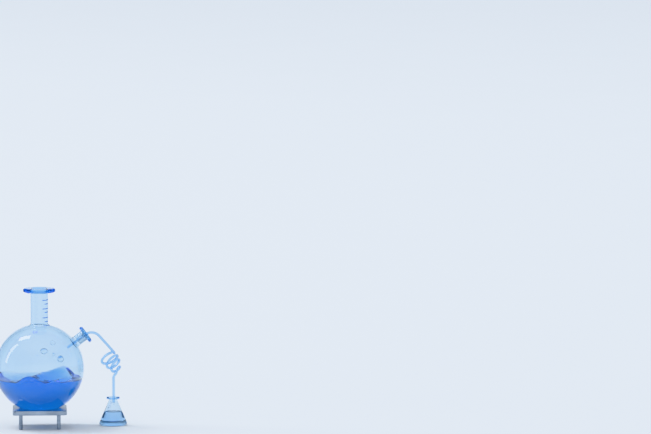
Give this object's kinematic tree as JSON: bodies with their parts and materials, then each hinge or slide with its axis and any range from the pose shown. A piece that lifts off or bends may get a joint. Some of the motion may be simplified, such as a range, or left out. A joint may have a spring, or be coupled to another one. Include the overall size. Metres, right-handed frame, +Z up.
{
  "type": "distilling flask set",
  "caption": "Round-bottomed flask of blue liquid on a low trivet, its side neck leading through a coiled glass tube into a small conical flask.",
  "frame": {"origin": "on the ground, under the middle of the whole set's box", "axes": "+Z up; +X from the round-bottomed flask towards the conical flask; the front, as pictured, faces -Y"},
  "size_m": [0.1952, 0.131, 0.2068],
  "materials": {
    "clear_glass": "clear light blue glass, fire-polished rims",
    "tube_glass": "clear glass tubing of a deeper blue, its ends melted round",
    "blue_liquid": "clear blue liquid",
    "pale_liquid": "clear pale blue liquid",
    "silicone": "translucent pale blue silicone rubber, faintly milky",
    "steel": "brushed, cool grey",
    "enamel": "blue fired enamel marks on the neck"
  },
  "bodies": {
    "root": {"flask_bulb": "clear_glass", "flask_neck": "clear_glass", "flask_side_neck": "clear_glass", "flask_liquid": "blue_liquid", "side_bung": "silicone", "delivery_tube": "tube_glass", "receiver_glass": "clear_glass", "receiver_liquid": "pale_liquid", "trivet_plate": "steel", "trivet_leg_1": "steel", "trivet_leg_2": "steel", "trivet_leg_3": "steel", "trivet_leg_4": "steel"}
  },
  "joints": []
}
